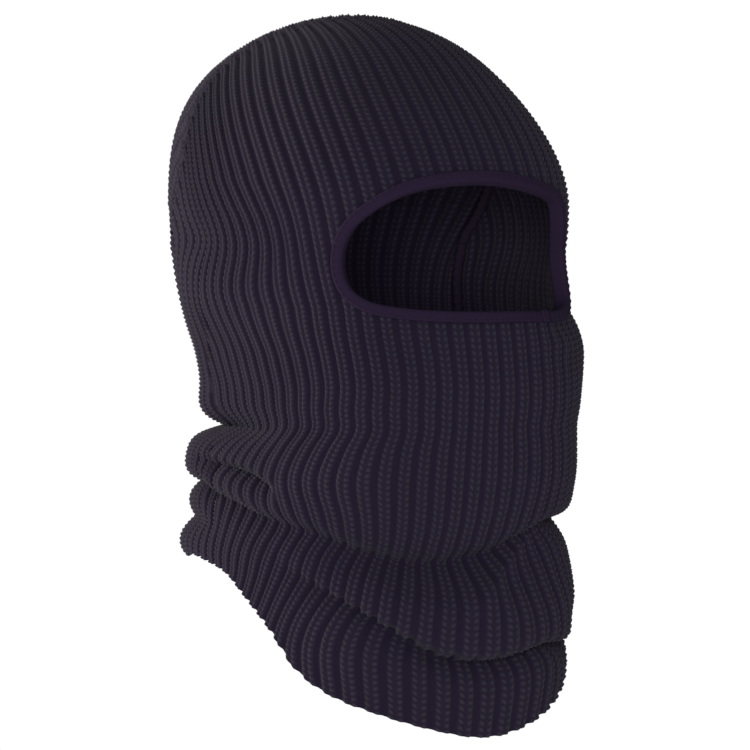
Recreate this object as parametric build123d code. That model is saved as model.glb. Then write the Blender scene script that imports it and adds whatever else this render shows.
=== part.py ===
from build123d import *
import math
import os

# One-hole rib-knit balaclava in its worn shape, as it sits on a head. Millimetres.
# +Z is up, the face looks along -Y and the wearer's right is -X.
# The origin is the head's centre: mid-width and mid-length, at the level of the tops of the ears.

WALL = 3.2                # thickness of the chunky rib knit
DOME_HEIGHT = 82.0        # crown above the origin
DOME_HALF_WIDTH = 80.0    # ear to ear, half
DOME_HALF_LENGTH = 100.0  # forehead to back of head, half
CROWN_SETBACK = 16.0      # how far the crown lies behind the origin
CROWN_BLEND = 60.0        # height over which the dome leans back to the crown

# Tube below the ears: height, reach to the front, reach to the back, half width, squareness of the face
LEVELS = [
    (0.0, 100.0, 100.0, 80.0, 2.0),    # widest part of the head
    (-32.0, 100.0, 92.0, 78.5, 2.1),   # eyes
    (-50.0, 105.0, 76.0, 77.0, 2.3),   # cheekbones and base of the skull
    (-72.0, 109.0, 58.0, 75.0, 2.6),   # mouth and nape
    (-93.0, 107.0, 54.0, 72.5, 2.5),   # deep fold at the top of the neck
    (-108.0, 106.0, 80.0, 74.0, 2.4),  # rolls at the back
    (-128.0, 100.0, 78.0, 73.5, 2.3),  # chin
    (-144.0, 91.0, 84.0, 76.0, 2.2),   # crease under the chin
    (-165.0, 107.0, 86.0, 79.0, 2.3),  # roll of the cowl
    (-188.0, 103.0, 86.0, 77.0, 2.3),  # underside of the roll
    (-222.0, 99.0, 84.0, 75.0, 2.2),   # hem skirt
]

# Hem line from front to back (Y, Z): low over the chest, high at the back
HEM_LINE = [
    (-112.0, -219.0), (-98.0, -217.0), (-60.0, -197.0), (-10.0, -160.0), (40.0, -149.0), (110.0, -149.0),
]

# Seam between the panels: over the crown from ear to ear, then down behind the ears
SEAM_SPAN = 80.0          # degrees from the crown to where the crown seam ends
SEAM_TOP = -0.07          # lie of the seam behind the dome's middle, as a share of its half length
SEAM_SWEEP = 0.24         # swept back over the temples
SEAM_DROP = 0.12          # and again at the ears
SIDE_ANGLE_TOP = 107.0    # degrees round from the face at the ears
SIDE_ANGLE_LOW = 124.0    # and lower down, behind the jaw
SIDE_BLEND = 30.0         # height over which it moves back

SEAM_SWEEP_SPAN = 45.0    # degrees over which the sweep comes in
SEAM_DROP_START = 70.0
SEAM_DROP_SPAN = 20.0
SEAM_EASE = 0.008         # the back panel's edge stays this far behind the seam line, on the unit sphere
WALE_FULLNESS = 0.9       # how upright the wales stand before they lean to the crown
LOW_WALE_HEIGHT = -160.0  # where a wale's place on the hem line is read

PANEL_COLUMNS = 15
DOME_ROWS = 8
TUBE_ROWS = 20
CROWN_STEPS = 20
SIDE_STEPS = 24
SEAM_GAP = 0.2            # half the gap between the panels' sewn edges, in degrees round the head
SURFACE_TOLERANCE = 0.2

SEAM_WIDTH = 4.2          # overlocked edges of both panels pressed together
SEAM_DEPTH = 5.0          # how far they stand into the head
SEAM_START = WALL + 0.5   # just clear of the knit's inner face
SIDE_TOP = -1.0           # the side seams start just under the crown seam's ends

# Finished eye opening, seen from the front (X, Z)
OPENING = [
    (-50.5, -18.0), (-44.0, -3.0), (-25.0, 8.5), (5.0, 11.8), (35.0, 7.0), (49.0, 0.0),
    (50.0, -20.0), (49.0, -40.0), (15.0, -41.5), (-30.0, -40.0), (-47.0, -34.0),
]
OUTLINE_POINTS = 24
BINDING_WIDTH = 5.0       # folded band seen round the opening
BINDING_TURN = 2.2        # from the finished edge to the panel's raw edge inside the band
BINDING_PROUD = 1.3       # band thickness over each face of the knit
THREAD_INSET = 1.1        # row of stitches near the band's outer edge
THREAD_WIDTH = 0.9
THREAD_PROUD = 0.6
THREAD_SUNK = 0.3         # into the band's face
JOIN_LENGTH = 6.0         # lapped ends of the band, low on the left
JOIN_X = 32.0
JOIN_HEIGHTS = (-60.0, -30.0)  # only the lower run of the band is lapped
JOIN_BACK = -20.0         # well behind the face
JOIN_PROUD = 0.7
FACE_GRID = (-66.0, 66.0, -62.0, 30.0)  # part of the face that the band lies on, X then Z
FACE_STEPS = 12

LABEL_SIZE = (22.0, 30.0)  # blank woven label, sewn into the left side seam
LABEL_THICKNESS = 0.5
LABEL_TOP = -60.0
LABEL_TUCK = 1.0          # edge caught in the seam
REACH = 130.0             # cutting tools run this far past the knit


def blend(x):
    x = min(max(x, 0.0), 1.0)
    return x * x * (3.0 - 2.0 * x)


def smooth_table(rows, key):
    """Row of values at a key, on a smooth curve through a table sorted by its first column."""
    rising = sorted(rows)
    key = min(max(key, rising[0][0]), rising[-1][0])
    i = max(k for k in range(len(rising) - 1) if rising[k][0] <= key)
    before, start = rising[max(i - 1, 0)], rising[i]
    end, after = rising[i + 1], rising[min(i + 2, len(rising) - 1)]
    span = end[0] - start[0]
    t = (key - start[0]) / span
    values = []
    for p, a, b, q in zip(before[1:], start[1:], end[1:], after[1:]):
        slope_a = (b - p) / (end[0] - before[0]) * span
        slope_b = (q - a) / (after[0] - start[0]) * span
        cubic = 2 * a - 2 * b + slope_a + slope_b
        square = 3 * b - 3 * a - 2 * slope_a - slope_b
        values.append(((cubic * t + square) * t + slope_a) * t + a)
    return values


def tube_point(angle, height, inset):
    """Point round the tube, by degrees from the face towards the wearer's right."""
    front, back, half_width, squareness = smooth_table(LEVELS, height)
    c, s = math.cos(math.radians(angle)), math.sin(math.radians(angle))
    power = 2.0 / squareness if c > 0.0 else 1.0
    reach = (front if c > 0.0 else back) - inset
    x = -(half_width - inset) * math.copysign(abs(s) ** power, s)
    return Vector(x, -reach * math.copysign(abs(c) ** power, c), height)


def dome_point(direction, inset):
    """Point of the dome in a direction given on the unit sphere."""
    unit = direction.normalized()
    z = unit.Z * (DOME_HEIGHT - inset)
    setback = CROWN_SETBACK * blend(z / CROWN_BLEND)
    return Vector(unit.X * (DOME_HALF_WIDTH - inset), unit.Y * (DOME_HALF_LENGTH - inset) + setback, z)


def seam_direction(share):
    """Crown seam on the unit sphere, from -1 at the left ear to 1 at the right ear."""
    span = abs(share) * SEAM_SPAN
    y = SEAM_TOP + SEAM_SWEEP * blend(span / SEAM_SWEEP_SPAN)
    y = y + SEAM_DROP * blend((span - SEAM_DROP_START) / SEAM_DROP_SPAN)
    flat = math.sqrt(1.0 - y * y)
    x = -math.copysign(math.sin(math.radians(span)), share) * flat
    return Vector(x, y, math.cos(math.radians(span)) * flat)


def side_angle(height):
    return SIDE_ANGLE_TOP + (SIDE_ANGLE_LOW - SIDE_ANGLE_TOP) * blend(-height / SIDE_BLEND)


def wale_angle(share, height, behind):
    """Degrees round the head of one wale of the front or the back panel."""
    edge = side_angle(height)
    if behind:
        return 180.0 - share * (180.0 - edge - SEAM_GAP)
    return share * (edge - SEAM_GAP)


def hem_height(y):
    return smooth_table(HEM_LINE, y)[0]


def wale(share, inset, behind):
    """Points down one wale, from the crown seam to the hem."""
    angle = math.radians(wale_angle(share, 0.0, behind))
    root = Vector(-math.sin(angle), -math.cos(angle), 0.0)
    top = seam_direction(share)
    if behind:
        top = top + Vector(0.0, SEAM_EASE, 0.0)
    middle = root + Vector(0.0, 0.0, WALE_FULLNESS * top.Z)
    points = []
    for i in range(DOME_ROWS):
        f = 1.0 - i / DOME_ROWS
        points.append(dome_point(root * (1 - f) ** 2 + middle * 2 * f * (1 - f) + top * f * f, inset))
    low = tube_point(wale_angle(share, LOW_WALE_HEIGHT, behind), LOW_WALE_HEIGHT, inset)
    bottom = hem_height(low.Y)
    for i in range(TUBE_ROWS + 1):
        height = bottom * i / TUBE_ROWS
        points.append(tube_point(wale_angle(share, height, behind), height, inset))
    return points


def closed_slab(outer_points, inner_points):
    """Solid between two grids of points of the same make-up."""
    outer = Face.make_surface_from_array_of_points(outer_points, tol=SURFACE_TOLERANCE)
    inner = Face.make_surface_from_array_of_points(inner_points, tol=SURFACE_TOLERANCE)
    walls = []
    for edge in outer.edges():
        partner = min(inner.edges(), key=lambda e: (e @ 0.5 - edge @ 0.5).length)
        walls.append(Face.make_surface_from_curves(edge, partner))
    solid = Solid(Shell([outer, inner] + walls))
    return solid if solid.volume > 0 else Solid(solid.wrapped.Reversed())


def panel(behind):
    shares = [2.0 * i / (PANEL_COLUMNS - 1) - 1.0 for i in range(PANEL_COLUMNS)]
    outer_points = [wale(share, 0.0, behind) for share in shares]
    inner_points = [wale(share, WALL, behind) for share in shares]
    return closed_slab(outer_points, inner_points)


def face_depth(x, z, inset):
    """Y of the face at a place seen from the front."""
    if z > 0.0:
        reach_z = 1.0 - (z / (DOME_HEIGHT - inset)) ** 2 - (x / (DOME_HALF_WIDTH - inset)) ** 2
        return CROWN_SETBACK * blend(z / CROWN_BLEND) - (DOME_HALF_LENGTH - inset) * math.sqrt(reach_z)
    front, back, half_width, squareness = smooth_table(LEVELS, z)
    share = abs(x / (half_width - inset)) ** squareness
    return -(front - inset) * (1.0 - share) ** (1.0 / squareness)


def face_slab(outer_inset, inner_inset):
    """Part of the face between two depths."""
    x_low, x_high, z_low, z_high = FACE_GRID
    grids = []
    for inset in (outer_inset, inner_inset):
        grid = []
        for i in range(FACE_STEPS + 1):
            x = x_low + (x_high - x_low) * i / FACE_STEPS
            heights = [z_low + (z_high - z_low) * k / FACE_STEPS for k in range(FACE_STEPS + 1)]
            grid.append([Vector(x, face_depth(x, z, inset), z) for z in heights])
        grids.append(grid)
    return closed_slab(grids[0], grids[1])


def opening_prism(offset_out):
    """Eye opening grown by the given amount, as a cutter through the face."""
    finished = Edge.make_spline([Vector(x, 0.0, z) for x, z in OPENING], periodic=True)
    points = []
    for i in range(OUTLINE_POINTS):
        share = i / OUTLINE_POINTS
        outwards = (finished % share).cross(Vector(0.0, 1.0, 0.0)).normalized()
        points.append(finished @ share + outwards * offset_out)
    outline = Wire([Edge.make_spline(points, periodic=True)])
    return extrude(Face(outline), amount=REACH, dir=(0, -1, 0))


def block(x, y, z):
    """Box between pairs of limits."""
    centre = Vector((x[0] + x[1]) / 2, (y[0] + y[1]) / 2, (z[0] + z[1]) / 2)
    return Pos(centre) * Box(x[1] - x[0], y[1] - y[0], z[1] - z[0])


def main_solid(shape):
    solid = max(shape.solids(), key=lambda s: abs(s.volume))
    return solid if solid.volume > 0 else Solid(solid.wrapped.Reversed())


def ridge(path, inner_path):
    """Pressed seam edges standing inwards along a path on the knit's inner face."""
    sections = []
    for i, place in enumerate(path):
        inwards = (inner_path[i] - place).normalized()
        along = (path[min(i + 1, len(path) - 1)] - path[max(i - 1, 0)]).normalized()
        across = along.cross(inwards).normalized() * (SEAM_WIDTH / 2)
        corners = [place - across, place + across]
        corners += [corners[1] + inwards * SEAM_DEPTH, corners[0] + inwards * SEAM_DEPTH]
        sections.append(Wire.make_polygon(corners, close=True))
    return Solid.make_loft(sections, ruled=True)


front_panel = main_solid(panel(False) - opening_prism(BINDING_TURN))
back_panel = panel(True)

band_ring = opening_prism(BINDING_WIDTH) - opening_prism(0.0)
thread_edge = BINDING_WIDTH - THREAD_INSET
thread_ring = opening_prism(thread_edge) - opening_prism(thread_edge - THREAD_WIDTH)
join_zone = block((JOIN_X - JOIN_LENGTH / 2, JOIN_X + JOIN_LENGTH / 2), (-REACH, JOIN_BACK), JOIN_HEIGHTS)
thread_slab = face_slab(-BINDING_PROUD - THREAD_PROUD, THREAD_SUNK - BINDING_PROUD)
binding_stitching = main_solid(thread_slab & (thread_ring - join_zone))
binding_join = main_solid(face_slab(-BINDING_PROUD - JOIN_PROUD, -BINDING_PROUD) & band_ring & join_zone)
band = face_slab(-BINDING_PROUD, WALL + BINDING_PROUD) & band_ring
eye_binding = main_solid(band - front_panel - binding_stitching)

crown_shares = [2.0 * i / CROWN_STEPS - 1.0 for i in range(CROWN_STEPS + 1)]
crown_path = [dome_point(seam_direction(share), SEAM_START) for share in crown_shares]
crown_inner = [dome_point(seam_direction(share), WALL + SEAM_DEPTH) for share in crown_shares]
crown_seam = ridge(crown_path, crown_inner)


def side_seam(side):
    bottom = hem_height(tube_point(SIDE_ANGLE_LOW, LOW_WALE_HEIGHT, 0.0).Y)
    heights = [SIDE_TOP + (bottom - SIDE_TOP) * i / SIDE_STEPS for i in range(SIDE_STEPS + 1)]
    path = [tube_point(side * side_angle(z), z, SEAM_START) for z in heights]
    inner_path = [tube_point(side * side_angle(z), z, WALL + SEAM_DEPTH) for z in heights]
    return ridge(path, inner_path)


right_side_seam = side_seam(1.0)
left_side_seam = side_seam(-1.0)


def label_section(height):
    """Cross-section of the label where its edge meets the left side seam."""
    seat = tube_point(-side_angle(height), height, WALL + SEAM_DEPTH)
    x_low, x_high = seat.X - LABEL_SIZE[0], seat.X + LABEL_TUCK
    y_low, y_high = seat.Y - LABEL_THICKNESS / 2, seat.Y + LABEL_THICKNESS / 2
    corners = [(x_low, y_low), (x_high, y_low), (x_high, y_high), (x_low, y_high)]
    return Wire.make_polygon([Vector(x, y, height) for x, y in corners], close=True)


label_ends = [label_section(LABEL_TOP), label_section(LABEL_TOP - LABEL_SIZE[1])]
care_label = main_solid(Solid.make_loft(label_ends, ruled=True) - left_side_seam)

os.makedirs("parts", exist_ok=True)
nodes = {
    "front_panel": front_panel,
    "back_panel": back_panel,
    "eye_binding": eye_binding,
    "binding_stitching": binding_stitching,
    "binding_join": binding_join,
    "crown_seam": crown_seam,
    "right_side_seam": right_side_seam,
    "left_side_seam": left_side_seam,
    "care_label": care_label,
}
for name, shape in nodes.items():
    export_step(shape, f"parts/{name}.step")
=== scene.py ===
import math

import bmesh
import bpy
import numpy as np
from mathutils import Matrix, Vector


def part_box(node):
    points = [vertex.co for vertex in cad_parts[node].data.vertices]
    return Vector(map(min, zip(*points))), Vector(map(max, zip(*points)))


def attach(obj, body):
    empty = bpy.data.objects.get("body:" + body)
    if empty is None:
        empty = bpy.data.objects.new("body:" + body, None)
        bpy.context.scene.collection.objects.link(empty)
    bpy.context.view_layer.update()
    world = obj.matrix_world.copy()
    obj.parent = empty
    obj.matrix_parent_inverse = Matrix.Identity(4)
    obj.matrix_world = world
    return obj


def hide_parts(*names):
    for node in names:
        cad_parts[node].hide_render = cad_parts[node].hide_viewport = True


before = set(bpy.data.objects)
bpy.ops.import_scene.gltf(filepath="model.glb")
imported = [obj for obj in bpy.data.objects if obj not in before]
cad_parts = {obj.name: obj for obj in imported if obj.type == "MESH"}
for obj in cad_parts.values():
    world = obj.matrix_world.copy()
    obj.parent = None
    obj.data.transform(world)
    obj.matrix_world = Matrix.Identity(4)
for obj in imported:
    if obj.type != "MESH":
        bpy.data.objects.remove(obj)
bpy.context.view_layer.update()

mm = 0.001

# ---------- the head form under the knit, in millimetres ----------

panelLow, panelHigh = [[v / mm for v in corner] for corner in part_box("front_panel")]
head = {
    "halfWidth": 80.0,
    "halfLength": 100.0,
    "crown": panelHigh[2] - 1.2,
    "setback": 16.0,       # crown behind the middle
    "setbackOver": 60.0,   # height over which it leans back
}

# height, reach to the front, reach to the back, half width, squareness of the face
tubeLevels = [
    (5, 100, 100, 80, 2.0),
    (-30, 100, 92, 78.5, 2.1),
    (-50, 105, 76, 76.6, 2.3),
    (-62, 107.5, 61, 75, 2.5),
    (-72, 109, 54, 74.2, 2.6),
    (-82, 108.5, 58, 73.8, 2.6),
    (-90, 107.5, 55, 73.2, 2.55),
    (-97, 107, 74, 74, 2.5),
    (-108, 106, 86, 75, 2.45),
    (-128, 102, 83, 74.5, 2.35),
    (-144, 99, 90, 76, 2.3),
    (-165, 106, 90, 77.8, 2.2),
    (-188, 103, 88, 76.5, 2.15),
    (-225, 96, 84, 73, 2.1),
]
# degrees round from the face towards the wearer's right, height of the hem
hemLine = [
    (-180, -149), (-120, -150), (-95, -158), (-75, -174), (-60, -188), (-50, -198), (-40, -205), (-30, -210.5),
    (-18, -215.5), (-8, -218), (0, -218), (8, -216), (20, -212), (32, -207), (44, -201), (50, -196.5),
    (57, -188.5), (64, -175), (71, -164.5), (79, -155), (88, -149.5), (100, -146.5), (120, -149), (180, -149),
]
# lip is how far the knit above hangs over a crease
# each row of a path: degrees round, height, depth, width
creases = [
    {"lip": 0.0, "path": [  # left side of the nape
        (-180, -92.5, 6, 4.5), (-125, -92.5, 7, 4.5), (-95, -90, 4, 5), (-75, -89, 0, 6)]},
    {"lip": 0.0, "path": [  # deep notch on the right of the nape
        (180, -92.5, 6, 4), (135, -92.5, 9, 3.6), (112, -92.5, 12, 3.4), (98, -92.5, 11, 4),
        (86, -91.5, 8, 5), (76, -92, 4, 6), (64, -90.5, 0, 7)]},
    {"lip": 1.5, "path": [  # pinch inside the first roll
        (103, -105, 0, 3), (92, -106.5, 4, 3), (84, -108, 7, 3),
        (77, -110, 7, 3.2), (70, -114, 5, 3.5), (65, -118, 0, 4)]},
    {"lip": 2.5, "path": [  # under the chin and round the back
        (180, -116.5, 6, 4), (125, -116.5, 6, 4), (108, -115.5, 6, 4), (99, -115.5, 5, 4), (85, -121.5, 6, 4.5),
        (74, -126.5, 6, 5), (60, -130.5, 6, 6.5), (50, -133.5, 7.5, 8), (38, -139.5, 10, 9.5),
        (22, -144, 11.5, 11), (8, -145, 11.5, 11), (-6, -141, 11.5, 10), (-16, -135.5, 11, 8.5),
        (-30, -129, 11, 6.5), (-50, -129, 11, 5.5),
        (-80, -126, 6, 5), (-110, -119, 6, 4.5), (-180, -116.5, 6, 4)]},
    {"lip": 0.0, "path": [  # between the two lower rolls
        (180, -131, 4, 4), (123, -131.5, 4, 4), (101, -132, 3.5, 4), (86, -132.5, 0, 4)]},
    {"lip": 0.0, "path": [
        (-180, -131, 4, 4), (-123, -131, 4, 4), (-95, -133, 0, 4)]},
    {"lip": 5.0, "path": [  # where the cowl hangs over the hem
        (70, -138, 0, 8), (60, -148, 2.5, 8), (48, -156, 6, 7.5), (38, -163, 8, 7),
        (24, -174, 10, 6.5), (14, -181, 11, 6),
        (3, -184, 11, 6), (-7, -184, 11, 6), (-18, -181.5, 11, 6), (-29, -178.5, 11, 5.5), (-50, -180, 11, 5),
        (-75, -168, 6, 5), (-100, -150, 0, 5)]},
    {"lip": 0.0, "path": [  # ridge across the left of the cowl
        (-40, -124, 0, 5), (-29, -129, -2.5, 5), (-17, -139, -5, 5), (-8, -149, -5, 5), 
        (-2, -158, -3.5, 6), (2, -168, 0, 6)]},
]
# degrees round, height, spread in degrees, spread in height, push outwards
dents = [
    (93, -13, 11, 7, -2.4),
    (76, -32, 16, 12, 1.6),
    (88, -52, 14, 9, -1.3),
    (70, -70, 16, 10, 1.2),
    (-60, -30, 16, 13, -3.2),
    (-60, -58, 18, 12, 2.6),
    (-95, -75, 18, 10, -1.5),
    (-20, -160, 12, 12, -2.5),
    (116, -152, 26, 4.5, -6.0),
    (116, -140, 22, 5, 1.0),
    (-62, -41, 12, 5, -2.6),
    (-62, -136, 14, 9, -1.4),
    (-62, -172, 14, 6, -3.0),
    (112, -113, 18, 4, -2.6),
    (-36, -48, 8, 4, -1.6),
    (-30, -56, 9, 4, 1.2),
]
# height, degrees that the wales swing back behind the jaw
sway = [(12, 0), (-13, -3.0), (-37, 2.4), (-62, 0.4), (-84, -1.4), (-104, 0)]
# height, degrees that the wales fan out under the chin
fan = [(-134, 0), (-150, 4), (-182, 13), (-200, 12), (-225, 10)]

seam = {
    "top": -0.07,          # lies this share of the half length behind the dome's middle
    "sweep": 0.24,         # swept back over the temples
    "drop": 0.27,          # and again at the ears, to meet the side seams
    "frontSpread": 3.15,   # degrees from one rib to the next over the crown
    "backSpread": 5.38,
    "end": 103.0,          # degrees from the crown to its end below the ears
    "sideTop": 113.0,      # degrees round the head of the side seams
    "sideLow": 119.0,
    "straight": 0.33,      # how directly the wales run to the seam
    "upright": 0.45,
}
knit = {
    "frontRibs": 50,
    "backRibs": 30,        # guessed, since the back can't be seen
    "course": 2.77,        # height of one stitch
    "lowCourses": 72,      # from the cheekbones down to the hem
    "joinHeight": -40.0,   # where the dome's ribs turn into the tube's
    "columns": 10,         # mesh columns in a rib
    "rows": 3,             # mesh rows in a stitch
    "wall": 2.6,
    "pitch": 6.1,          # from one rib to the next, laid flat: assumed, not measured
    "crest": 1.1,
    "valley": 1.15,
}


def ease(x):
    x = np.clip(x, 0.0, 1.0)
    return x * x * (3.0 - 2.0 * x)


def alongTable(table, key):
    # smooth curve through the rows of a table, read at an array of keys
    rows = np.array(sorted(table), float)
    keys = rows[:, 0]
    slopes = np.gradient(rows[:, 1:], keys, axis=0)
    key = np.clip(key, keys[0], keys[-1])
    i = np.clip(np.searchsorted(keys, key) - 1, 0, len(keys) - 2)
    span = (keys[i + 1] - keys[i])
    t = ((key - keys[i]) / span)[..., None]
    a, b = rows[i, 1:], rows[i + 1, 1:]
    sa, sb = slopes[i] * span[..., None], slopes[i + 1] * span[..., None]
    start = (2 * t**3 - 3 * t**2 + 1) * a + (t**3 - 2 * t**2 + t) * sa
    return start + (3 * t**2 - 2 * t**3) * b + (t**3 - t**2) * sb


def tubePlace(angle, z):
    # point of the plain tube, and the way out from it
    level = alongTable(tubeLevels, z)
    front, back, width, square = (level[..., k] for k in range(4))
    c, s = np.cos(np.radians(angle)), np.sin(np.radians(angle))
    power = np.where(c > 0, 2.0 / square, 1.0)
    reach = np.where(c > 0, front, back)
    x = -width * np.sign(s) * np.abs(s) ** power
    y = -reach * np.sign(c) * np.abs(c) ** power
    outX, outY = -s / width, -c / reach
    length = np.hypot(outX, outY)
    return x, y, outX / length, outY / length


def foldPush(angle, z):
    # how far the creases push the knit in, and let it hang down
    inwards = np.zeros_like(z)
    down = np.zeros_like(z)
    perDegree = 1.5
    for crease in creases:
        best = np.full(z.shape, 1e9)
        depth, width, above = np.zeros_like(z), np.ones_like(z), np.zeros_like(z)
        path = crease["path"]
        for (a0, z0, d0, w0), (a1, z1, d1, w1) in zip(path, path[1:]):
            ux, uz = (a1 - a0) * perDegree, z1 - z0
            px, pz = (angle - a0) * perDegree, z - z0
            t = np.clip((px * ux + pz * uz) / (ux * ux + uz * uz), 0, 1)
            away = np.hypot(px - t * ux, pz - t * uz)
            nearer = away < best
            best = np.where(nearer, away, best)
            depth = np.where(nearer, d0 + (d1 - d0) * t, depth)
            width = np.where(nearer, w0 + (w1 - w0) * t, width)
            above = np.where(nearer, pz - t * uz, above)
        if crease["lip"]:
            width = width * np.where(above > 0, 0.8, 1.25)
        inwards += depth * np.exp(-(best / width) ** 1.5)
        if crease["lip"]:
            hang = np.exp(-((above - 5.0) / 5.0) ** 2) * np.exp(-(best / 12.0) ** 4)
            hang = hang * np.clip(depth / 8.0, 0, 1)
            down += crease["lip"] * hang
            inwards -= 0.35 * crease["lip"] * hang
    return inwards, down


def bulge(angle, z):
    push = np.zeros_like(z)
    for a0, z0, overAngle, overZ, out in dents:
        push += out * np.exp(-((angle - a0) / overAngle) ** 2 - ((z - z0) / overZ) ** 2)
    return push


def sideShift(angle, z):
    # degrees that the wales stray sideways: slack behind the jaw, round the pinch, fanned below the chin
    behindJaw = ease((np.abs(angle) - 45) / 30) * ease((128 - np.abs(angle)) / 22) * np.sign(angle)
    lean = behindJaw * alongTable(sway, z)[..., 0]
    bow = 3.4 * np.exp(-((z + 112) / 14) ** 2) * ease((angle - 22) / 28) * ease((112 - angle) / 24)
    spread = alongTable(fan, z)[..., 0] * np.sin(np.radians(np.clip(angle, -90, 90) * 2))
    return lean + bow + spread


def tubeSurface(angle, z):
    angle = wrap(angle + sideShift(angle, z))
    x, y, outX, outY = tubePlace(angle, z)
    inwards, down = foldPush(angle, z)
    push = bulge(angle, z) - inwards
    return np.stack([x + outX * push, y + outY * push, z - down], -1)


def headSurface(direction):
    # dome above the ears, tube below, in a direction from the head's centre
    dx, dy, dz = direction[..., 0], direction[..., 1], direction[..., 2]
    length = np.sqrt(dx * dx + dy * dy + dz * dz)
    flat = np.hypot(dx, dy) / length
    angle = np.degrees(np.arctan2(-dx, -dy))
    zDome = dz / length * head["crown"]
    turned = np.radians(angle + sideShift(angle, zDome))
    ux, uy = -np.sin(turned) * flat, -np.cos(turned) * flat
    setback = head["setback"] * ease(zDome / head["setbackOver"])
    grow = bulge(np.degrees(turned), zDome)
    dome = np.stack([ux * (head["halfWidth"] + grow), uy * (head["halfLength"] + grow) + setback, zDome], -1)
    zTube = np.minimum(dz / np.hypot(dx, dy) * head["crown"], 0.0)
    return np.where((dz >= 0)[..., None], dome, tubeSurface(angle, zTube))


def seamDirection(share, span):
    y = seam["top"] + seam["sweep"] * ease(span / 45.0) + seam["drop"] * ease((span - 70.0) / 33.0)
    flat = np.sqrt(1.0 - y * y)
    x = -np.sign(share) * np.sin(np.radians(span)) * flat
    return np.stack([x, y, np.cos(np.radians(span)) * flat], -1)


def seamSpan(share, ribs, spread):
    # degrees from the crown at which a wale meets the crown seam
    even = np.abs(share) * ribs / 2 * spread
    return even + (seam["end"] - ribs / 2 * spread) * np.abs(share) ** 4


def waleAngles(shares, heights, behind):
    # degrees round the head of each wale at each height, with the ribs evenly spread along the surface
    angles = np.linspace(-180, 180, 1441)
    result = np.empty((len(heights), len(shares)))
    for i, z in enumerate(heights):
        x, y, _, _ = tubePlace(angles, np.full_like(angles, z))
        run = np.concatenate([[0], np.cumsum(np.hypot(np.diff(x), np.diff(y)))])
        run -= run[720]
        side = seam["sideTop"] + (seam["sideLow"] - seam["sideTop"]) * ease(-z / 60.0)
        edge = np.interp(side, angles, run)
        if behind:
            place = run[-1] - shares * (run[-1] - edge)
            place = np.where(place > run[-1], place - 2 * run[-1], place)
            found = np.interp(place, run, angles)
            result[i] = np.where(found < 0, found + 360, found)
        else:
            result[i] = np.interp(shares * edge, run, angles)
    return result


def wrap(angle):
    return np.where(angle > 180, angle - 360, np.where(angle < -180, angle + 360, angle))


def panelGrid(behind):
    # places of a panel's mesh points on the bare surface: rows from the crown seam down to the hem
    ribs = knit["backRibs"] if behind else knit["frontRibs"]
    shares = np.linspace(-1, 1, ribs * knit["columns"] + 1)
    heights = np.linspace(knit["joinHeight"], -225, 120)
    angles = waleAngles(shares, heights, behind)
    root = wrap(angles[0])
    low = []
    lowRows = knit["lowCourses"] * knit["rows"]
    dense = np.linspace(0, 1, 700)
    for k in range(len(shares)):
        bottom = np.array([-160.0])
        for _ in range(12):
            angle = wrap(np.interp(-bottom, -heights, angles[:, k]))
            bottom = 0.5 * bottom + 0.5 * alongTable(hemLine, wrap(angle + sideShift(angle, bottom)))[:, 0]
        z = knit["joinHeight"] + (bottom - knit["joinHeight"]) * dense
        line = tubeSurface(wrap(np.interp(-z, -heights, angles[:, k])), z)
        run = np.concatenate([[0], np.cumsum(np.linalg.norm(np.diff(line, axis=0), axis=1))])
        wanted = np.linspace(0, run[-1], lowRows + 1)
        low.append(np.stack([np.interp(wanted, run, line[:, j]) for j in range(3)], -1))
    low = np.stack(low, 1)

    rise = -knit["joinHeight"] / head["crown"]
    first = np.stack([-np.sin(np.radians(root)), -np.cos(np.radians(root)), np.full_like(root, -rise)], -1)
    top = seamDirection(shares, seamSpan(shares, ribs, seam["backSpread"] if behind else seam["frontSpread"]))
    lift = np.array([0, 0, 1.0]) * seam["upright"] * (rise + np.maximum(top[:, 2:], -rise * 0.8))
    middle = first * (1 - seam["straight"]) + top * seam["straight"] + lift
    f = np.linspace(0, 1, 500)[:, None, None]
    paths = headSurface((1 - f) ** 2 * first + 2 * f * (1 - f) * middle + f * f * top)
    step = knit["course"] / knit["rows"]
    runs = np.linalg.norm(np.diff(paths, axis=0), axis=2).cumsum(0)
    runs = np.concatenate([np.zeros((1, len(shares))), runs])
    lengths = runs[-1]
    highRows = int(np.ceil(lengths.max() / step))
    wanted = np.arange(highRows, 0, -1) * step
    high = np.empty((highRows, len(shares), 3))
    for k in range(len(shares)):
        for j in range(3):
            high[:, k, j] = np.interp(wanted, runs[:, k], paths[:, k, j])
    toSeam = np.concatenate([lengths[None, :] - wanted[:, None], np.repeat(lengths[None, :], lowRows + 1, 0)])
    course = np.concatenate([wanted / knit["course"], -np.linspace(0, knit["lowCourses"], lowRows + 1)])
    return {
        "places": np.concatenate([high, low]),
        "shares": shares,
        "ribs": ribs,
        "toSeam": toSeam,
        "course": course,
    }


def stitchRelief(rib, course):
    # height over the middle surface: two plaited legs on each rib, bars in the valleys
    away = np.abs((rib % 1.0) - 0.5) * 2.0
    body = np.exp(-(away / 0.68) ** 6)
    legs = np.exp(-((away - 0.4) / 0.22) ** 2)
    beat = 0.5 + 0.5 * np.cos(2 * np.pi * (course - 0.6 * away))
    bars = np.exp(-((away - 1.0) / 0.2) ** 2) * (0.5 + 0.5 * np.cos(2 * np.pi * course))
    height = 0.5 * body + legs * (0.10 + 0.40 * beat) + 0.10 * bars
    return height * (knit["crest"] + knit["valley"]) - knit["valley"]


# ---------- eye opening ----------

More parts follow.
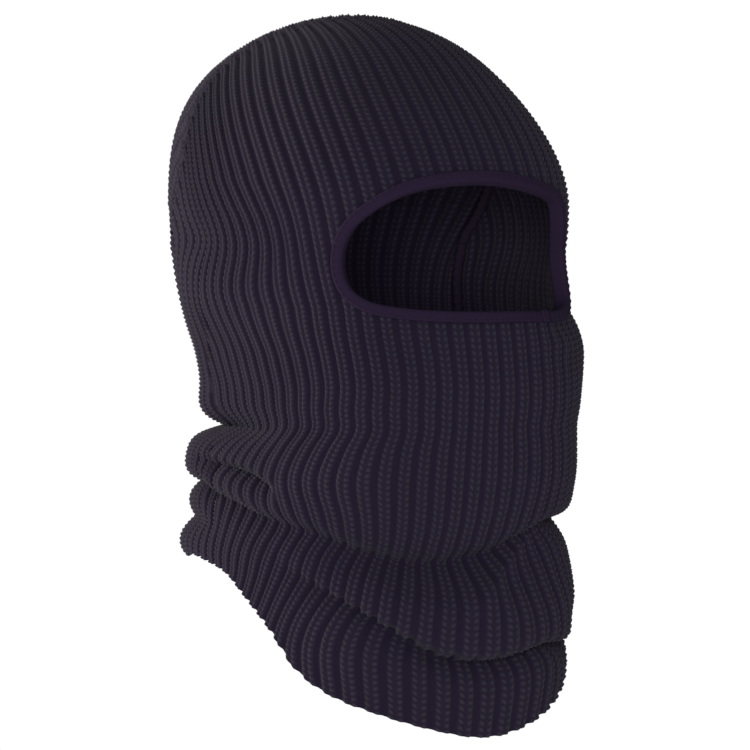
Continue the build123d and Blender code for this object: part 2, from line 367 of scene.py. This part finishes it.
opening = {
    "outline": [
        (-50.5, -18), (-44, -3), (-25, 8.5), (5, 11.8), (35, 7), (49, 0),
        (50, -20), (49, -40), (15, -41.5), (-30, -40), (-47, -34),
    ],
    "steps": 240,
    "bandWidth": 5.0,
    "bandProud": 0.9,      # over the ribs' crests
    "turn": 2.4,           # raw edge inside the band
    "tape": 1.3,           # thickness of the band's tape
}


def faceDepth(x, z):
    dome = 1 - (z / head["crown"]) ** 2 - (x / head["halfWidth"]) ** 2
    yDome = head["setback"] * ease(z / head["setbackOver"]) - head["halfLength"] * np.sqrt(np.maximum(dome, 0))
    level = alongTable(tubeLevels, z)
    front, width, square = level[..., 0], level[..., 2], level[..., 3]
    yTube = -front * np.maximum(1 - np.abs(x / width) ** square, 0) ** (1 / square)
    return np.where(z > 0, yDome, yTube)


def closedCurve(points, steps):
    # smooth closed curve through the points
    p = np.array(points, float)
    t = np.linspace(0, len(p), steps, endpoint=False)
    i = t.astype(int)
    f = (t - i)[:, None]
    a, b, c, d = (p[(i + k) % len(p)] for k in (-1, 0, 1, 2))
    return 0.5 * (2 * b + (c - a) * f + (2 * a - 5 * b + 4 * c - d) * f**2 + (3 * b - a - 3 * c + d) * f**3)


def evenly(points, steps):
    closed = np.concatenate([points, points[:1]])
    run = np.concatenate([[0], np.cumsum(np.linalg.norm(np.diff(closed, axis=0), axis=1))])
    wanted = np.linspace(0, run[-1], steps, endpoint=False)
    return np.stack([np.interp(wanted, run, closed[:, j]) for j in range(closed.shape[1])], -1)


outline = closedCurve(opening["outline"], 600)
rim = np.stack([outline[:, 0], faceDepth(outline[:, 0], outline[:, 1]), outline[:, 1]], -1)
rim = evenly(rim, opening["steps"])


def rimFrames():
    # along, away from the opening and out of the face, at each step of the rim
    along = np.roll(rim, -1, 0) - np.roll(rim, 1, 0)
    along /= np.linalg.norm(along, axis=1)[:, None]
    e = 0.5
    x, z = rim[:, 0], rim[:, 2]
    slopeX = (faceDepth(x + e, z) - faceDepth(x - e, z)) / (2 * e)
    slopeZ = (faceDepth(x, z + e) - faceDepth(x, z - e)) / (2 * e)
    out = np.stack([slopeX, -np.ones_like(x), slopeZ], -1)
    out /= np.linalg.norm(out, axis=1)[:, None]
    away = np.cross(along, out)
    away /= np.linalg.norm(away, axis=1)[:, None]
    middle = rim.mean(0)
    if ((rim - middle) * away).sum() < 0:
        away = -away
    return along, away, out


def insideOutline(x, z):
    inside = np.zeros(x.shape, bool)
    px, pz = outline[:, 0], outline[:, 1]
    for i in range(len(px)):
        j = i - 1
        crosses = (pz[i] > z) != (pz[j] > z)
        with np.errstate(divide="ignore", invalid="ignore"):
            where = (px[j] - px[i]) * (z - pz[i]) / (pz[j] - pz[i]) + px[i]
        inside ^= crosses & (x < where)
    return inside


# ---------- making meshes ----------

def gridMesh(name, columns, rows):
    # a plain grid; u runs with the columns and v down the rows
    bm = bmesh.new()
    bm.loops.layers.uv.new("knit")
    bmesh.ops.create_grid(bm, x_segments=columns, y_segments=rows, size=0.5, calc_uvs=True)
    mesh = bpy.data.meshes.new(name)
    bm.to_mesh(mesh)
    bm.free()
    flat = np.empty(len(mesh.vertices) * 3)
    mesh.vertices.foreach_get("co", flat)
    flat = flat.reshape(-1, 3)
    column = np.rint((flat[:, 0] + 0.5) * columns).astype(int)
    row = np.rint((0.5 - flat[:, 1]) * rows).astype(int)
    return mesh, column, row


def placePoints(mesh, places):
    mesh.vertices.foreach_set("co", (np.asarray(places) * mm).ravel())
    mesh.update()


def addObject(name, mesh):
    piece = bpy.data.objects.new(name, mesh)
    bpy.context.scene.collection.objects.link(piece)
    return piece


def writeUv(mesh, values):
    # values holds u, v for each point of the mesh
    layer = mesh.uv_layers.active or mesh.uv_layers.new(name="knit")
    corners = np.empty(len(mesh.loops), int)
    mesh.loops.foreach_get("vertex_index", corners)
    layer.data.foreach_set("uv", values[corners].ravel())


def gridNormals(places):
    across = np.gradient(places, axis=1)
    down = np.gradient(places, axis=0)
    normal = np.cross(across, down)
    length = np.linalg.norm(normal, axis=2)
    normal /= np.maximum(length, 1e-9)[..., None]
    return normal


def outwardNormals(grid):
    places = grid["places"]
    normal = gridNormals(places)
    beyond = grid["toSeam"] <= 0
    for k in range(places.shape[1]):
        firstIn = int(np.argmax(~beyond[:, k]))
        normal[: firstIn + 1, k] = normal[min(firstIn + 2, len(places) - 1), k]
    middle = places[len(places) // 2].mean(0)
    if ((places - middle) * normal).sum() < 0:
        normal = -normal
    return normal


def panelPiece(name, grid, normal, topRow, bottomRow, cutOpening, material):
    # closed sheet of knit between two rows of a panel's grid
    places = grid["places"][topRow:bottomRow + 1]
    out = normal[topRow:bottomRow + 1]
    toSeam = grid["toSeam"][topRow:bottomRow + 1]
    rows, columns = places.shape[0] - 1, places.shape[1] - 1
    mesh, column, row = gridMesh(name, columns, rows)
    rib = (grid["shares"] + 1) / 2 * grid["ribs"]
    course = grid["course"][topRow:bottomRow + 1]
    ribs, courses = np.meshgrid(rib, course)
    relief = stitchRelief(ribs, courses)
    seamFade = ease(toSeam / 3.0)
    ridge = 0.7 * np.exp(-((toSeam - 4.0) / 3.0) ** 2) - 0.7 * np.exp(-(np.maximum(toSeam, 0) / 1.2) ** 2)
    relief = relief * seamFade + ridge
    inner = -knit["wall"] + 0.45 * np.cos(2 * np.pi * ribs) * seamFade - 0.3
    outerPlaces = places + out * relief[..., None]
    innerPlaces = places + out * inner[..., None]
    gone = toSeam <= 0
    if cutOpening:
        x, y, z = places[..., 0], places[..., 1], places[..., 2]
        close = (y < -30) & (np.abs(x) < 62) & (z > -52) & (z < 22)
        hole = np.zeros(x.shape, bool)
        spots = places[close]
        gap = np.full(len(spots), 1e9)
        for i in range(0, len(rim), 2):
            gap = np.minimum(gap, np.linalg.norm(spots - rim[i], axis=1))
        hole[close] = insideOutline(spots[:, 0], spots[:, 2]) | (gap < opening["turn"])
        gone = gone | hole
    goneAt = gone[row, column]
    bm = bmesh.new()
    bm.from_mesh(mesh)
    bm.verts.ensure_lookup_table()
    tag = bm.verts.layers.int.new("place")
    index = row * (columns + 1) + column
    for vert, spot in zip(bm.verts, index):
        vert[tag] = int(spot)
    lost = [f for f in bm.faces if all(goneAt[v.index] for v in f.verts)]
    bmesh.ops.delete(bm, geom=lost, context="FACES")
    cells = len(bm.faces)
    for edge in bm.edges:
        edge.smooth = not edge.is_boundary
    for face in bm.faces:
        face.smooth = True
    bm.to_mesh(mesh)
    bm.free()
    kept = np.empty(len(mesh.vertices), int)
    mesh.attributes["place"].data.foreach_get("value", kept)
    flatOuter = outerPlaces.reshape(-1, 3)
    placePoints(mesh, flatOuter[kept])
    flip = np.array(mesh.polygons[len(mesh.polygons) // 2].normal)
    spot = kept[mesh.polygons[len(mesh.polygons) // 2].vertices[0]]
    if flip @ out.reshape(-1, 3)[spot] < 0:
        mesh.flip_normals()
    piece = addObject(name, mesh)
    thick = piece.modifiers.new("wall", "SOLIDIFY")
    thick.thickness = knit["wall"] * mm
    thick.offset = -1
    thick.use_rim = True
    applyModifiers(piece)
    mesh = piece.data
    count = len(kept)
    both = np.concatenate([flatOuter[kept], innerPlaces.reshape(-1, 3)[kept]])
    placePoints(mesh, both)
    uv = np.stack([ribs.ravel()[kept], courses.ravel()[kept]], -1)
    writeUv(mesh, np.concatenate([uv, uv]))
    mesh.attributes.remove(mesh.attributes["place"])
    piece.data.materials.clear()
    piece.data.materials.append(material)
    print(name, len(mesh.polygons) * 2, "triangles", count, "points a side")
    return piece, cells


def applyModifiers(piece):
    graph = bpy.context.evaluated_depsgraph_get()
    finished = bpy.data.meshes.new_from_object(piece.evaluated_get(graph), depsgraph=graph)
    old = piece.data
    piece.modifiers.clear()
    piece.data = finished
    finished.name = piece.name
    bpy.data.meshes.remove(old)


# ---------- materials ----------

def newMaterial(name):
    material = bpy.data.materials.new(name)
    material.use_nodes = True
    nodes = material.node_tree.nodes
    shader = nodes["Principled BSDF"]
    return material, nodes, material.node_tree.links, shader


yarn = {
    # painted shade: the valleys between the ribs are coloured darker than the ribs
    "valley": (0.0125, 0.0080, 0.0205, 1),
    "rib": (0.0152, 0.0105, 0.0235, 1),
    # painted highlight: the lit tops of the loops are coloured lighter
    "loop": (0.0300, 0.0262, 0.0385, 1),
    "highlightPatchiness": 0.35,          # how patchy the painted loop highlights are
    "roughness": 0.92,
    "sheen": 0.05,
    "specular": 0.08,
    "bump": 0.0003,
}


def maths(nodes, links, operation, *values):
    node = nodes.new("ShaderNodeMath")
    node.operation = operation
    for socket, value in zip(node.inputs, values):
        if hasattr(value, "links"):
            links.new(value, socket)
        else:
            socket.default_value = value
    return node.outputs[0]


def smoothRange(nodes, links, value, low, high):
    node = nodes.new("ShaderNodeMapRange")
    node.interpolation_type = "SMOOTHSTEP"
    links.new(value, node.inputs["Value"])
    node.inputs["From Min"].default_value = low
    node.inputs["From Max"].default_value = high
    return node.outputs["Result"]


def stitchGroup():
    # where the legs of the ribs and their loops are, from rib and course numbers: masks for painted shade in
    # the valleys and painted highlights on the loops, and a height for the bump
    group = bpy.data.node_groups.new("stitchShadeHighlightBump", "ShaderNodeTree")
    group.interface.new_socket("Knit", in_out="INPUT", socket_type="NodeSocketVector")
    for name in ("Rib", "LoopHighlight", "Height"):
        group.interface.new_socket(name, in_out="OUTPUT", socket_type="NodeSocketFloat")
    nodes, links = group.nodes, group.links
    start, end = nodes.new("NodeGroupInput"), nodes.new("NodeGroupOutput")
    split = nodes.new("ShaderNodeSeparateXYZ")
    links.new(start.outputs["Knit"], split.inputs[0])
    u, v = split.outputs["X"], split.outputs["Y"]

    def calc(operation, *values):
        return maths(nodes, links, operation, *values)

    # 0 on the middle of a rib, 1 in the valleys
    away = calc("MULTIPLY", calc("PINGPONG", calc("SUBTRACT", u, 0.5), 0.5), 2.0)
    # mask for the painted valley shade: 1 on the ribs, 0 in the valleys
    rib = smoothRange(nodes, links, away, 0.85, 0.5)
    leg = smoothRange(nodes, links, calc("ABSOLUTE", calc("SUBTRACT", away, 0.4)), 0.3, 0.04)
    phase = calc("MULTIPLY", calc("SUBTRACT", v, calc("MULTIPLY", away, 0.6)), 2 * math.pi)
    beat = calc("MULTIPLY_ADD", calc("COSINE", phase), 0.5, 0.5)
    loop = calc("MULTIPLY", leg, beat)
    twist = nodes.new("ShaderNodeTexNoise")
    twist.inputs["Scale"].default_value = 7.0
    twist.inputs["Detail"].default_value = 5.0
    twist.inputs["Roughness"].default_value = 0.65
    links.new(start.outputs["Knit"], twist.inputs["Vector"])
    fluff = twist.outputs["Fac"]
    strand = calc("SINE", calc("ADD", calc("MULTIPLY", u, 52.0), calc("MULTIPLY", v, 30.0)))
    height = calc("ADD", calc("MULTIPLY", loop, 0.8), calc("MULTIPLY", fluff, 0.7))
    height = calc("ADD", height, calc("MULTIPLY", strand, 0.12))
    # painted highlight on the loops, made patchy by the noise
    patchy = smoothRange(nodes, links, fluff, 0.3, 0.7)
    highlightMask = calc("MULTIPLY", loop, calc("MULTIPLY_ADD", patchy, yarn["highlightPatchiness"], 1.0 - yarn["highlightPatchiness"] / 2))
    links.new(rib, end.inputs["Rib"])
    links.new(highlightMask, end.inputs["LoopHighlight"])
    links.new(height, end.inputs["Height"])
    return group


def colourMix(nodes, links, factor, a, b):
    mix = nodes.new("ShaderNodeMix")
    mix.data_type = "RGBA"
    links.new(factor, mix.inputs["Factor"])
    for socket, value in ((mix.inputs[6], a), (mix.inputs[7], b)):
        if hasattr(value, "links"):
            links.new(value, socket)
        else:
            socket.default_value = value
    return mix.outputs[2]


def knitMaterial():
    material, nodes, links, shader = newMaterial("ribKnit")
    uv = nodes.new("ShaderNodeUVMap")
    uv.uv_map = "knit"
    pattern = nodes.new("ShaderNodeGroup")
    pattern.node_tree = stitchGroup()
    links.new(uv.outputs["UV"], pattern.inputs["Knit"])
    # rib colour with painted shade darkening the valleys
    ribWithValleyShade = colourMix(nodes, links, pattern.outputs["Rib"], yarn["valley"], yarn["rib"])
    # painted highlights laid over the loops
    colour = colourMix(nodes, links, pattern.outputs["LoopHighlight"], ribWithValleyShade, yarn["loop"])
    links.new(colour, shader.inputs["Base Color"])
    shader.inputs["Roughness"].default_value = yarn["roughness"]
    shader.inputs["Sheen Weight"].default_value = yarn["sheen"]
    shader.inputs["Sheen Roughness"].default_value = 0.5
    shader.inputs["Specular IOR Level"].default_value = yarn["specular"]
    bump = nodes.new("ShaderNodeBump")
    bump.inputs["Strength"].default_value = 0.6
    bump.inputs["Distance"].default_value = yarn["bump"]
    links.new(pattern.outputs["Height"], bump.inputs["Height"])
    links.new(bump.outputs["Normal"], shader.inputs["Normal"])
    return material


def plainCloth(name, colour, specular, ridges, depth):
    # flat cloth with fine ridges across its own map
    material, nodes, links, shader = newMaterial(name)
    shader.inputs["Base Color"].default_value = colour
    shader.inputs["Roughness"].default_value = 0.95
    shader.inputs["Specular IOR Level"].default_value = specular
    uv = nodes.new("ShaderNodeUVMap")
    uv.uv_map = "knit"
    wave = nodes.new("ShaderNodeTexWave")
    wave.inputs["Scale"].default_value = ridges
    wave.inputs["Distortion"].default_value = 0.6
    links.new(uv.outputs["UV"], wave.inputs["Vector"])
    bump = nodes.new("ShaderNodeBump")
    bump.inputs["Strength"].default_value = 0.5
    bump.inputs["Distance"].default_value = depth
    links.new(wave.outputs["Fac"], bump.inputs["Height"])
    links.new(bump.outputs["Normal"], shader.inputs["Normal"])
    return material


bandCloth = plainCloth("bandKnit", (0.0185, 0.0110, 0.0275, 1), 0.06, 0.5, 0.00015)
threadCord = plainCloth("thread", (0.0170, 0.0105, 0.0240, 1), 0.12, 2.0, 0.0001)
labelCloth = plainCloth("labelSatin", (0.62, 0.61, 0.60, 1), 0.3, 6.0, 0.00003)
ribKnit = knitMaterial()

# ---------- the panels ----------

print("knitting the front panel")
frontGrid = panelGrid(False)
frontNormal = outwardNormals(frontGrid)
print("knitting the back panel")
backGrid = panelGrid(True)
backNormal = outwardNormals(backGrid)


def courseRow(grid, course):
    return int(np.argmin(np.abs(grid["course"] - course)))


def knitPanel(prefix, grid, normal, cuts, cutOpening, replaced):
    # bands of one panel, each with its flat size printed: ribs by courses, less what is cut away. It rests on
    # the assumed pitch, so the printed size is no firmer than that. It rests on the assumed pitch, so the
    # area share that is measured against it is no firmer than that
    pieces = []
    edges = [0] + [courseRow(grid, c) for c in cuts] + [len(grid["course"]) - 1]
    frontBands, backBands = ["crown", "brow", "face", "chin", "cowl", "hem"], ["crown", "head", "nape", "hem"]
    labels = backBands if grid is backGrid else frontBands
    for label, a, b in zip(labels, edges, edges[1:]):
        piece, cells = panelPiece(prefix + label.capitalize(), grid, normal, a, b, cutOpening, ribKnit)
        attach(piece, "root")
        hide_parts(replaced)
        width, length = grid["ribs"] * knit["pitch"], (b - a) / knit["rows"] * knit["course"]
        used = grid["toSeam"][a:b + 1].max(axis=1) > 0
        length *= used.mean()
        print(piece.name, "knitted", round(width, 1), "by", round(length, 1), "mm")
        pieces.append(piece)
    return pieces


frontPieces = knitPanel("frontPanel", frontGrid, frontNormal, [30, 8, -16, -36, -54], True, "front_panel")
backPieces = knitPanel("backPanel", backGrid, backNormal, [10, -20, -46], False, "back_panel")


def finishPiece(name, mesh, material, node):
    bm = bmesh.new()
    bm.from_mesh(mesh)
    bmesh.ops.remove_doubles(bm, verts=bm.verts, dist=1e-6)
    bmesh.ops.holes_fill(bm, edges=[e for e in bm.edges if e.is_boundary], sides=0)
    bmesh.ops.recalc_face_normals(bm, faces=bm.faces)
    for face in bm.faces:
        face.smooth = True
    bm.to_mesh(mesh)
    bm.free()
    piece = addObject(name, mesh)
    mesh.materials.append(material)
    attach(piece, "root")
    if node:
        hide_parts(node)
    print(name, len(mesh.polygons), "faces")
    return piece


def sweepSection(name, path, away, out, section, closed, wobble):
    # sweeps a closed section, given as (away, out) places, along a path
    steps = len(path) if closed else len(path) - 1
    mesh, column, row = gridMesh(name, steps, len(section))
    i, k = column % len(path), row % len(section)
    across, lift = section[:, 0][k], section[:, 1][k]
    grow = wobble(column, row)
    places = path[i] + away[i] * (across * grow)[:, None] + out[i] * (lift * grow)[:, None]
    placePoints(mesh, places)
    writeUv(mesh, np.stack([column / 4.0, row / 4.0], -1))
    return mesh


def foldedSection(width, proud, behind, thick):
    # tape folded round an edge: the outside from back to front, then the inside back again
    r = 1.4
    outer = [(width, -behind), (width * 0.6, -behind), (r, -behind)]
    outer += [(r - r * math.sin(t), -behind + r - r * math.cos(t)) for t in (0.5, 1.05)]
    outer += [(0, -behind + r), (0, -behind * 0.3), (0, proud - r)]
    outer += [(r - r * math.cos(t), proud - r + r * math.sin(t)) for t in (0.4, 0.8, 1.2)]
    outer += [(r + 0.4, proud), (width * 0.55, proud), (width * 0.8, proud - 0.06)]
    outer += [(width - 0.3, proud - 0.25), (width, proud - 0.7)]
    inner = [(width, proud - thick), (thick + 0.6, proud - thick), (thick, proud - thick - 0.6)]
    inner += [(thick, -behind + thick + 0.6), (thick + 0.6, -behind + thick), (width, -behind + thick)]
    return np.array(outer + inner)


def steady(column, row):
    return np.ones(len(column))


def bandPieces():
    # tape folded over the raw edge of the opening, its lapped ends and its stitches
    along, away, out = rimFrames()
    width, thick = opening["bandWidth"], opening["tape"]
    proud = knit["crest"] + opening["bandProud"]
    behind = knit["wall"] + 1.9
    section = foldedSection(width, proud, behind, thick)
    mesh = sweepSection("eyeBinding", rim, away, out, section, True, steady)
    band = finishPiece("eyeBinding", mesh, bandCloth, "eye_binding")

    lap = np.where((rim[:, 0] > 29) & (rim[:, 0] < 35) & (rim[:, 2] < -30))[0]
    turn = np.linspace(0, 2 * np.pi, 16, endpoint=False)
    bar = np.stack([width * 0.5 + (width * 0.5 + 0.25) * np.cos(turn), proud + 0.35 * np.sin(turn)], -1)
    mesh = sweepSection("bindingJoin", rim[lap], away[lap], out[lap], bar, False, steady)
    join = finishPiece("bindingJoin", mesh, bandCloth, "binding_join")

    stitches = bmesh.new()
    line = rim + away * (width - 0.9) + out * (proud - 0.1)
    for i in range(0, len(rim), 2):
        if i in lap:
            continue
        turned = Matrix((along[i], away[i], out[i])).transposed().to_4x4()
        spot = Matrix.Translation(Vector(line[i]) * mm) @ turned
        spot = spot @ Matrix.Diagonal((1.0, 0.38, 0.34, 1)) @ Matrix.Scale(mm, 4)
        bmesh.ops.create_uvsphere(stitches, u_segments=10, v_segments=6, radius=1, matrix=spot)
    mesh = bpy.data.meshes.new("bindingStitching")
    stitches.loops.layers.uv.new("knit")
    stitches.to_mesh(mesh)
    stitches.free()
    thread = finishPiece("bindingStitching", mesh, threadCord, "binding_stitching")
    return band, join, thread


def seamPieces():
    # overlocked seams standing inside, along the front panel's own edges
    places, normal, toSeam = frontGrid["places"], frontNormal, frontGrid["toSeam"]
    first = np.argmax(toSeam > 0.5, axis=0)
    columns = np.arange(places.shape[1])
    crownOut = normal[np.minimum(first + 3, len(places) - 1), columns]
    edges = [("crownSeam", "crown_seam", places[first, columns], crownOut)]
    for name, node, k in (("rightSideSeam", "right_side_seam", -1), ("leftSideSeam", "left_side_seam", 0)):
        edges.append((name, node, places[first[k]:-3, k], normal[first[k]:-3, k]))
    turn = np.linspace(0, 2 * np.pi, 14, endpoint=False)
    section = np.stack([1.9 * np.cos(turn), 2.3 * np.sin(turn)], -1)
    wraps = lambda column, row: 1 + 0.12 * np.cos(2 * np.pi * (column / 5.0 + row / 14.0))
    pieces = []
    for name, node, path, out in edges:
        inside = path - out * (knit["wall"] + 2.6)
        run = np.concatenate([[0], np.cumsum(np.linalg.norm(np.diff(inside, axis=0), axis=1))])
        wanted = np.linspace(0, run[-1], int(run[-1] / 0.8))
        both = np.concatenate([inside, out], axis=1)
        both = np.stack([np.interp(wanted, run, both[:, j]) for j in range(6)], -1)
        for _ in range(4):
            both[1:-1] = (both[:-2] + 2 * both[1:-1] + both[2:]) / 4
        path, out = both[:, :3], both[:, 3:]
        along = np.gradient(path, axis=0)
        along /= np.linalg.norm(along, axis=1)[:, None]
        out = out - along * (out * along).sum(1)[:, None]
        out /= np.linalg.norm(out, axis=1)[:, None]
        mesh = sweepSection(name, path, np.cross(along, out), out, section, False, wraps)
        pieces.append(finishPiece(name, mesh, threadCord, node))
    return pieces


def labelPiece():
    low, high = (np.array(corner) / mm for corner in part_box("care_label"))
    mesh, column, row = gridMesh("careLabel", 12, 16)
    u, v = column / 12, row / 16
    x = low[0] + (high[0] - low[0] - 2.0) * u + 1.2
    z = high[2] - (high[2] - low[2]) * v
    y = high[1] - 0.3 + (low[1] - high[1] + 0.6) * v + 0.8 * np.sin(np.pi * (1 - u)) * v
    placePoints(mesh, np.stack([x, y, z], -1))
    writeUv(mesh, np.stack([u * 2, v * 3], -1))
    piece = addObject("careLabel", mesh)
    thick = piece.modifiers.new("cloth", "SOLIDIFY")
    thick.thickness = 0.4 * mm
    thick.offset = 0
    applyModifiers(piece)
    piece.data.materials.append(labelCloth)
    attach(piece, "root")
    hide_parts("care_label")
    return piece


print("binding the opening")
eyeBinding, bindingJoin, bindingStitching = bandPieces()
print("seams and label")
seams = seamPieces()
careLabel = labelPiece()

# ---------- studio ----------

studio = {
    "azimuth": -27.0, "elevation": 2.5, "distance": 3.0, "field": 0.3191,
    "aimSide": 0.0032, "aimHeight": -0.0715,
    "floorDrop": 0.9, "white": 1.03, "around": 0.32,
}


def makeCamera():
    a, e = math.radians(studio["azimuth"]), math.radians(studio["elevation"])
    towards = Vector((math.sin(a) * math.cos(e), -math.cos(a) * math.cos(e), math.sin(e)))
    side = Vector((math.cos(a), math.sin(a), 0))
    aim = side * studio["aimSide"] + Vector((0, 0, studio["aimHeight"]))
    lens = bpy.data.cameras.new("camera")
    lens.sensor_width = 36
    lens.lens = 36 * studio["distance"] / studio["field"]
    camera = bpy.data.objects.new("camera", lens)
    camera.location = aim + towards * studio["distance"]
    camera.rotation_euler = towards.to_track_quat("Z", "Y").to_euler()
    bpy.context.scene.collection.objects.link(camera)
    bpy.context.scene.camera = camera
    lens.clip_end = 50


def areaLight(name, place, size, power, colour):
    data = bpy.data.lights.new(name, "AREA")
    data.shape = "DISK"
    data.size = size
    data.energy = power
    data.color = colour
    lamp = bpy.data.objects.new(name, data)
    lamp.location = place
    lamp.rotation_euler = (Vector(place) - Vector((0, 0, -0.07))).to_track_quat("Z", "Y").to_euler()
    bpy.context.scene.collection.objects.link(lamp)


def makeStudio():
    world = bpy.data.worlds.new("studio")
    world.use_nodes = True
    nodes, links = world.node_tree.nodes, world.node_tree.links
    sky = nodes["Background"]
    sky.inputs["Color"].default_value = (1, 1, 1, 1)
    seen = nodes.new("ShaderNodeLightPath")
    strength = nodes.new("ShaderNodeMapRange")
    links.new(seen.outputs["Is Camera Ray"], strength.inputs["Value"])
    strength.inputs["To Min"].default_value = studio["around"]
    strength.inputs["To Max"].default_value = studio["white"]
    links.new(strength.outputs["Result"], sky.inputs["Strength"])
    bpy.context.scene.world = world
    stagePlane("floor", 0.85, Vector((0, 0, -studio["floorDrop"])))


def stagePlane(name, shade, place):
    bm = bmesh.new()
    bmesh.ops.create_grid(bm, x_segments=1, y_segments=1, size=4)
    mesh = bpy.data.meshes.new(name)
    bmesh.ops.translate(bm, verts=bm.verts, vec=place)
    bm.to_mesh(mesh)
    bm.free()
    plane = addObject(name, mesh)
    material, nodes, links, shader = newMaterial(name + "Paper")
    shader.inputs["Base Color"].default_value = (shade, shade, shade, 1)
    shader.inputs["Roughness"].default_value = 0.9
    shader.inputs["Specular IOR Level"].default_value = 0.0
    plane.data.materials.append(material)


makeCamera()
makeStudio()
areaLight("leftSoftbox", (-1.3, 1.0, 0.15), 1.0, 34, (1.0, 0.93, 0.88))
areaLight("cameraSoftbox", (-1.2, -2.5, 0.1), 1.2, 48, (0.98, 0.96, 1.0))
bpy.context.scene.view_settings.view_transform = "Standard"
